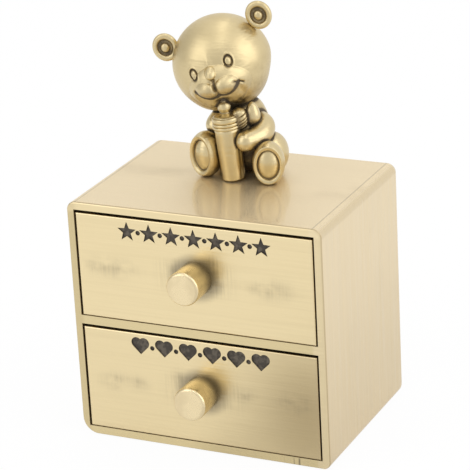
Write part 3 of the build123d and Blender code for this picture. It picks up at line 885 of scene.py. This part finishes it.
class Finish(Shades):
    """One material: places and normals of the object, and its surface shader."""

    def __init__(self, name):
        self.material = bpy.data.materials.new(name)
        self.material.use_nodes = True
        super().__init__(self.material.node_tree)
        self.place = self.node("ShaderNodeTexCoord", {}, {}, "Object")
        self.x, self.y, self.z = self.parts(self.place)
        self.normal = self.node("ShaderNodeNewGeometry", {}, {}, "Normal")

    def noise(self, stretch, detail=2.0, shift=0.0):
        """Noise over the object, its grains stretched as cells per metre along each axis."""
        at = self.vector("MULTIPLY", self.place, stretch)
        at = self.vector("ADD", at, (shift, shift, shift))
        return self.node("ShaderNodeTexNoise", {}, {"Vector": at, "Scale": 1.0, "Detail": detail})

    def fade(self, value, places):
        """0 at the first of two places and 1 at the second, which are in millimetres."""
        return self.step(value, places[0] * MM, places[1] * MM)

    def blot(self, x, z, half_x, half_z):
        """1 at a place on the front, falling as e to the power -u^2 - v^2 of its scaled offsets."""
        across = (self.x - x * MM) / (half_x * MM)
        above = (self.z - z * MM) / (half_z * MM)
        fall = 0 - across * across - above * above
        return self.node("ShaderNodeMath", {"operation": "POWER"}, {0: math.e, 1: fall})

    def brushed(self, along, grain, strength):
        """The normal tipped across the brushing: N + (brush x N) (grain - 1/2) strength, made unit."""
        across = self.vector("CROSS_PRODUCT", along, self.normal)
        return self.unit(self.vector("ADD", self.normal, self.scaled(across, (grain - 0.5) * strength)))

    def surface(self, sockets):
        """Puts the sockets' values on the shader that is shown."""
        shader = self.node("ShaderNodeBsdfPrincipled", {}, sockets)
        self.show(shader, "ShaderNodeOutputMaterial")
        return self.material

    def metal(self, tone, roughness, normal, metallic=1.0):
        """A surface of metal, less so where dark fill, patina or painted shade lies on it."""
        return self.surface({
            "Base Color": tone,
            "Metallic": metallic,
            "Roughness": roughness,
            "Normal": normal,
        })


def case_finish():
    """Satin brass: front and top brushed side to side, sides brushed up and down, a rougher rim. Its
    tone by facing and its darker rim, sides, bays and edges are painted light and shade.
    """
    f = Finish("case_brass")
    normal_x, normal_y, normal_z = f.parts(f.normal)
    sideways = f.step(abs(normal_x), 0.6, 0.8)
    front = f.step(0 - normal_y, 0.7, 0.9)
    top = f.step(normal_z, 0.7, 0.95)
    grain = f.noise((60, 5200, 5200), 3)
    top_grain = f.noise((3200, 20000, 20000), 2)
    side_grain = f.noise((3000, 3600, 45), 3)
    grain = (grain * (1 - top) + top_grain * top) * (1 - sideways) + side_grain * sideways
    streaks = f.noise((22, 1700, 1700), 2, 3.0)
    side_streaks = f.noise((900, 1100, 16), 2, 5.0)
    streaks = streaks * (1 - sideways) + side_streaks * sideways
    clouds = f.noise((70, 90, 90), 3, 9.0)
    scratches = f.noise((2600, 30, 60), 2, 13.0)

    def fade(value, name):
        """0 and 1 at a pair of the case's places."""
        return f.fade(value, case_places[name])

    # A mottled darker band on the top across the bear's foot
    band_x, band_y = (abs(place - middle * MM) for place, middle in zip((f.x, f.y), top_band_middle))
    band = fade(band_y, "band_depth") * fade(band_x, "band_width") * top
    scratch_x = abs(f.x - scratch_middle * MM)
    scratched = fade(scratch_x, "scratch_width") * fade(f.z, "scratch_height") * front
    inside = fade(f.y, "inside_depth") * fade(abs(f.x), "inside_width") * fade(f.z, "inside_height")
    edge = fade(f.y, "front_edge") * (1 - front)
    shoulder = fade(f.z, "shoulder") * (1 - top) * (1 - front)
    seam = fade(abs(abs(f.x) - seam_place * MM), "seam") * top

    # Tone by facing, with the rim below its top strip darker: painted light and shade
    rim = f.mix(fade(f.z, "rim_top"), SHADED_RIM_BRASS, FRONT_BRASS)
    tone = f.mix(front, f.mix(top, BRASS, TOP_BRASS), rim)
    # Sides darker, more so towards the foot: painted shade
    side_shade = case_tints["side"] + fade(f.z, "side_foot") * case_tints["side_foot"]
    tone = f.mix(sideways * side_shade, tone, WARM_SMOKE_AND_SHADE)
    tints = [
        ("streaks", f.step(streaks, 0.42, 0.68), WARM_SMOKE_AND_SHADE),
        ("clouds", f.step(clouds, 0.5, 0.75), WARM_SMOKE_AND_SHADE),
        # Rim darker on the left and lighter on the right: painted shade and painted light
        ("left_rim", fade(f.x, "left_rim") * front, WARM_SMOKE_AND_SHADE),
        ("right_rim", fade(f.x, "right_rim") * front, BRASS),
        ("top_band", band * f.step(clouds, 0.35, 0.7), WARM_SMOKE_AND_SHADE),
        ("scratches", f.step(scratches, 0.52, 0.66) * scratched, SMOKE),
        # Inside of the bays, behind the front and under the top, darker: painted shade
        ("inside", inside, WARM_SMOKE_AND_SHADE),
        # Rounded edges round the front: darker, which is painted shade, and rougher
        ("front_edge", edge, WARM_SMOKE_AND_SHADE),
        # Rounded edges under the top, at the sides and back, darker: painted shade
        ("shoulder", shoulder, WARM_SMOKE_AND_SHADE),
        ("seam", seam, SMOKE),
    ]
    for name, mask, tint in tints:
        tone = f.mix(mask * case_tints[name], tone, tint)
    worn = f.step(top_grain, 0.41, 0.47) * top
    rough = 0.16 + front * 0.11 + sideways * 0.13 - top * 0.06
    rough = rough + streaks * (1 - top) * 0.05 + edge * 0.25 + worn * 0.5
    along = f.joined(1 - sideways, 0.0, sideways)
    return f.metal(tone, rough, f.brushed(along, grain, 0.6 - top * 0.45))


def front_finish(drawer):
    """Brass brushed side to side, smoky round the knob and in worn patches, ornament filled dark."""
    f = Finish(drawer + "_front_brass")
    axis_z = knob_axis_z[drawer]
    grain = f.noise((70, 9000, 9000), 2)
    streaks = f.noise((26, 1900, 1900), 2, 4.0)
    cross_streaks = f.step(f.noise((2400, 50, 120), 2, 7.0), 0.3, 0.75)
    clouds = f.noise((180, 300, 300), 3, 2.0)
    offset_x = f.x - knob_x * MM
    offset_z = f.z - axis_z * MM
    square = offset_x * offset_x + offset_z * offset_z * halo_height_share
    halo = f.fade(f.node("ShaderNodeMath", {"operation": "SQRT"}, {0: square}), halo_reach)
    wings = f.fade(abs(offset_x), wing_width) * f.fade(abs(offset_z), wing_height)
    patches = sum(f.blot(*place[:4]) * place[4] for place in smoke_places[drawer])
    right = f.blot(right_shade_x, axis_z - right_shade_drop, *right_shade_half)
    right = right * right_shade[drawer] + even_shade[drawer]
    tone = f.mix(f.step(streaks, 0.40, 0.70) * 0.05, FRONT_BRASS, WARM_SMOKE_AND_SHADE)
    tone = f.mix(right, tone, WARM_SMOKE_AND_SHADE)
    tone = f.mix(wings * cross_streaks * 0.2, tone, SMOKE)
    tone = f.mix(patches * f.step(clouds, 0.3, 0.65) * (0.55 + cross_streaks * 0.45), tone, SMOKE)
    tone = f.mix(halo * (0.45 + clouds * 0.3), tone, SMOKE)
    row = abs(f.z - ornament_z[drawer] * MM)
    sunk = f.fade(row, (ornament_half_height + 0.1, ornament_half_height))
    sunk = sunk * f.fade(abs(f.x), (ornament_half_width + 0.5, ornament_half_width))
    for places in (ornament_floor, ornament_back):
        sunk = sunk * f.fade(f.y, (front_y + places[0], front_y + places[1]))
    fill = f.mix(f.step(f.noise((900, 900, 900), 3), 0.4, 0.65), INK, SMOKE)
    tone = f.mix(sunk, tone, fill)
    rough = 0.28 + streaks * 0.05 + sunk * 0.3
    return f.metal(tone, rough, f.brushed(ALONG_X, grain, 0.5), 1.0 - sunk * 0.6)


def knob_finish():
    """Turned brass: fine rings round the barrel, dark where it meets the drawer front."""
    f = Finish("knob_brass")
    face = f.fade(f.y, knob_face_y)
    grain = f.noise((700, 5200, 700), 2) * (1 - face) + f.noise((6000, 6000, 900), 2) * face
    clouds = f.noise((260, 260, 260), 3, 6.0)
    tone = f.mix(f.step(clouds, 0.4, 0.7) * 0.3, FRONT_BRASS, WARM_SMOKE_AND_SHADE)
    tone = f.mix(f.fade(f.y, knob_foot_y) * 0.7, tone, SMOKE)
    tone = f.mix(face * 0.35, tone, BRASS)
    return f.metal(tone, 0.2 + clouds * 0.16, f.brushed(ALONG_KNOB, grain, 0.5))


def bear_finish():
    """Polished cast brass, finely brushed side to side, with dark patina held in its creases and painted
    shade in its recesses and on the lower head.
    """
    f = Finish("bear_brass")
    patina_and_shade = f.node("ShaderNodeAttribute", {"attribute_name": "patina_and_shade"}, {}, "Fac")
    grain = f.noise((110, 900, 4200), 3)
    clouds = f.noise((210, 210, 300), 3, 5.0)
    specks = f.noise((1500, 1500, 1500), 3, 1.0)
    patches = f.noise((520, 520, 520), 3, 8.0)
    edge = f.step(patina_and_shade + (clouds - 0.5) * 0.5 + (specks - 0.5) * 0.3, 0.08, 0.62)
    core = f.step(patina_and_shade + (patches - 0.5) * 0.7 + (specks - 0.5) * 0.4, 0.42, 1.0)
    tone = f.mix(f.step(clouds, 0.35, 0.75) * 0.12, BEAR_BRASS, WARM_SMOKE_AND_SHADE)
    tone = f.mix(edge * 0.75, tone, WARM_SMOKE_AND_SHADE)
    tone = f.mix(core * 0.94, tone, DEEP_PATINA_AND_SHADE)
    rough = 0.27 + clouds * 0.08 + core * 0.25 + f.fade(f.z, dull_head_z) * 0.08
    return f.metal(tone, rough, f.brushed(ALONG_X, grain, 0.6), 1.0 - core * 0.5)


def plain_metal_finish(name, tint, grain_strength):
    """Unpolished plate and screws, faintly brushed side to side."""
    f = Finish(name)
    grain = f.noise((90, 2400, 2400), 3)
    clouds = f.noise((150, 150, 150), 3, 4.0)
    tone = f.mix(f.step(clouds, 0.35, 0.7) * 0.3, tint, WARM_SMOKE_AND_SHADE)
    return f.metal(tone, 0.3 + clouds * 0.15, f.brushed(ALONG_X, grain, grain_strength))


def cloth_finish(name, dark, light, grain_scale):
    """Short pile: a fine mottle of two shades with a bumpy surface."""
    f = Finish(name)
    pile = f.noise((grain_scale, grain_scale, grain_scale), 4)
    nap = f.noise((260, 90, 260), 3, 8.0)
    tone = f.mix(f.step(pile, 0.3, 0.75) * 0.6 + f.step(nap, 0.3, 0.8) * 0.4, dark, light)
    bump = f.node("ShaderNodeBump", {}, {"Strength": 0.6, "Distance": 0.0003, "Height": pile})
    return f.surface({
        "Base Color": tone,
        "Roughness": 0.95,
        "Sheen Weight": 0.5,
        "Sheen Roughness": 0.4,
        "Normal": bump,
    })


def dress(nodes, finish):
    """Gives CAD nodes a finish in all their material slots."""
    for name in nodes:
        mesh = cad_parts[name].data
        mesh.materials.clear()
        mesh.materials.append(finish)


# Scene: floor, light and camera

def floor_finish():
    """White to the camera, glowing faintly to mirrored rays, and matt white to all others.

    Mirrored rays find it dimmer towards the front and right.
    """
    f = Finish("pale_floor")
    seen = f.ray("Is Camera Ray")
    mirrored = f.ray("Is Glossy Ray") * floor_mirrored
    matt = f.node("ShaderNodeBsdfDiffuse", {}, {"Color": FLOOR_WHITE})
    near = f.step(f.vector("DOT_PRODUCT", f.unit(f.place), floor_dim_towards, "Value"), 0.75, 0.97)
    strength = 1 - near * (1 - seen) * floor_dimming
    glow = f.node("ShaderNodeEmission", {}, {"Color": WHITE, "Strength": strength})
    shown = f.node("ShaderNodeMath", {"operation": "MAXIMUM"}, {0: seen * floor_seen, 1: mirrored})
    f.show(f.node("ShaderNodeMixShader", {}, {0: shown, 1: matt, 2: glow}), "ShaderNodeOutputMaterial")
    return f.material


def make_floor():
    """One square under the object, reaching the same way to all sides."""
    mesh = bpy.data.meshes.new("floor")
    corners = [(-floor_reach, -floor_reach, 0), (floor_reach, -floor_reach, 0)]
    corners += [(floor_reach, floor_reach, 0), (-floor_reach, floor_reach, 0)]
    mesh.from_pydata(corners, [], [(0, 1, 2, 3)])
    mesh.materials.append(floor_finish())
    floor = bpy.data.objects.new("floor", mesh)
    bpy.context.scene.collection.objects.link(floor)


def make_world():
    """A white room, dimmer to the left and round the camera; the camera itself sees plain white."""
    world = bpy.data.worlds.new("studio")
    world.use_nodes = True
    shades = Shades(world.node_tree)
    place = shades.node("ShaderNodeTexCoord", {}, {}, "Generated")
    left = shades.step(shades.vector("DOT_PRODUCT", place, left_wall, "Value"), 0.45, 0.95)
    near = shades.step(shades.vector("DOT_PRODUCT", place, camera_wall, "Value"), 0.8, 0.98)
    bright = 1.0 - left * left_wall_dimming - near * camera_wall_dimming
    strength = bright + shades.ray("Is Camera Ray") * (1 - bright)
    glow = shades.node("ShaderNodeBackground", {}, {"Color": WHITE, "Strength": strength})
    shades.show(glow, "ShaderNodeOutputWorld")
    bpy.context.scene.world = world


def make_softbox(name, azimuth, elevation, width, height, brightness):
    """A rectangular lamp at an azimuth and elevation, aimed at the object's middle."""
    lamp = bpy.data.lights.new(name, "AREA")
    lamp.shape = "RECTANGLE"
    lamp.size = width
    lamp.size_y = height
    lamp.energy = brightness * math.pi * width * height
    box = bpy.data.objects.new(name, lamp)
    bpy.context.scene.collection.objects.link(box)
    turn, lift = math.radians(azimuth), math.radians(elevation)
    away = np.array([math.sin(turn) * math.cos(lift), -math.cos(turn) * math.cos(lift), math.sin(lift)])
    box.location = away * softbox_distance + np.array([0, 0, middle_height])
    box.rotation_mode = "QUATERNION"
    box.rotation_quaternion = Vector(-away).to_track_quat("-Z", "Y")


def make_camera():
    """The camera, placed by its right, up and back directions."""
    data = bpy.data.cameras.new("camera")
    data.lens = camera_lens
    data.sensor_width = 36.0
    data.clip_start = 0.01
    camera = bpy.data.objects.new("camera", data)
    bpy.context.scene.collection.objects.link(camera)
    matrix = Matrix((camera_right, camera_up, camera_back)).transposed().to_4x4()
    matrix.translation = camera_place
    camera.matrix_world = matrix
    bpy.context.scene.camera = camera


make_camera()
make_world()
make_floor()
for name, settings in softboxes.items():
    make_softbox(name, *settings)
bpy.context.scene.view_settings.view_transform = "Standard"

# Case, drawers and screws
dress(["case_shell", "divider_shelf", "back_plate"], case_finish())
for drawer in ("upper", "lower"):
    dress([drawer + "_front"], front_finish(drawer))
dress(["upper_knob", "lower_knob"], knob_finish())
dress(["upper_tray", "lower_tray"], plain_metal_finish("tray_brass", FRONT_BRASS, 0.5))
screws = ["back_plate_screws", "bear_fixing_screw", "upper_knob_screw", "lower_knob_screw"]
dress(screws, plain_metal_finish("screw_steel", STEEL, 0.4))

# Velvet and felt
velvet = cloth_finish("drawer_velvet", colour(0.01, 0.01, 0.012), colour(0.06, 0.06, 0.07), 5000)
felt = cloth_finish("base_felt", colour(0.015, 0.015, 0.015), colour(0.07, 0.07, 0.07), 3500)
for drawer in ("upper", "lower"):
    laid = (drawer + "_liner", liner_size, liner_corner, (liner_middle_y, liner_z[drawer]))
    make_sheet(*laid, "drawer_velvet", velvet, drawer + "_drawer", [drawer + "_tray"])
make_sheet("base_felt", felt_size, felt_corner, (0.0, 0.0), "base_felt", felt, "case", ["case_shell"])

# Bear
head_forms = [head_form(), ear_form(-1), ear_form(1)]
scarf = from_bear(egg(scarf_half, scarf_taper) + np.array(scarf_centre))
parts = {
    "bear_head": gather([(head_place(points), dark) for points, dark in head_forms]),
    "bear_torso": gather([torso_form(), plain(scarf)]),
    "bear_left_leg": gather(leg_forms(-1)),
    "bear_right_leg": gather(leg_forms(1)),
    "bear_right_arm": gather([plain(from_bear(limb(right_arm_joints, right_arm_radii)))]),
    "bear_left_arm": gather([plain(from_bear(limb(left_arm_joints, left_arm_radii))), hand_form()]),
    "feeding_bottle": gather([bottle_form()]),
}
# Darkness per part: patina in the creases and painted shade in the recesses
patinas_and_shades = crease_darkness(parts)
bear_brass = bear_finish()
for node, (vertices, faces, _) in parts.items():
    make_piece(node + "_cast", vertices, faces, patinas_and_shades[node], bear_brass, "case", [node])
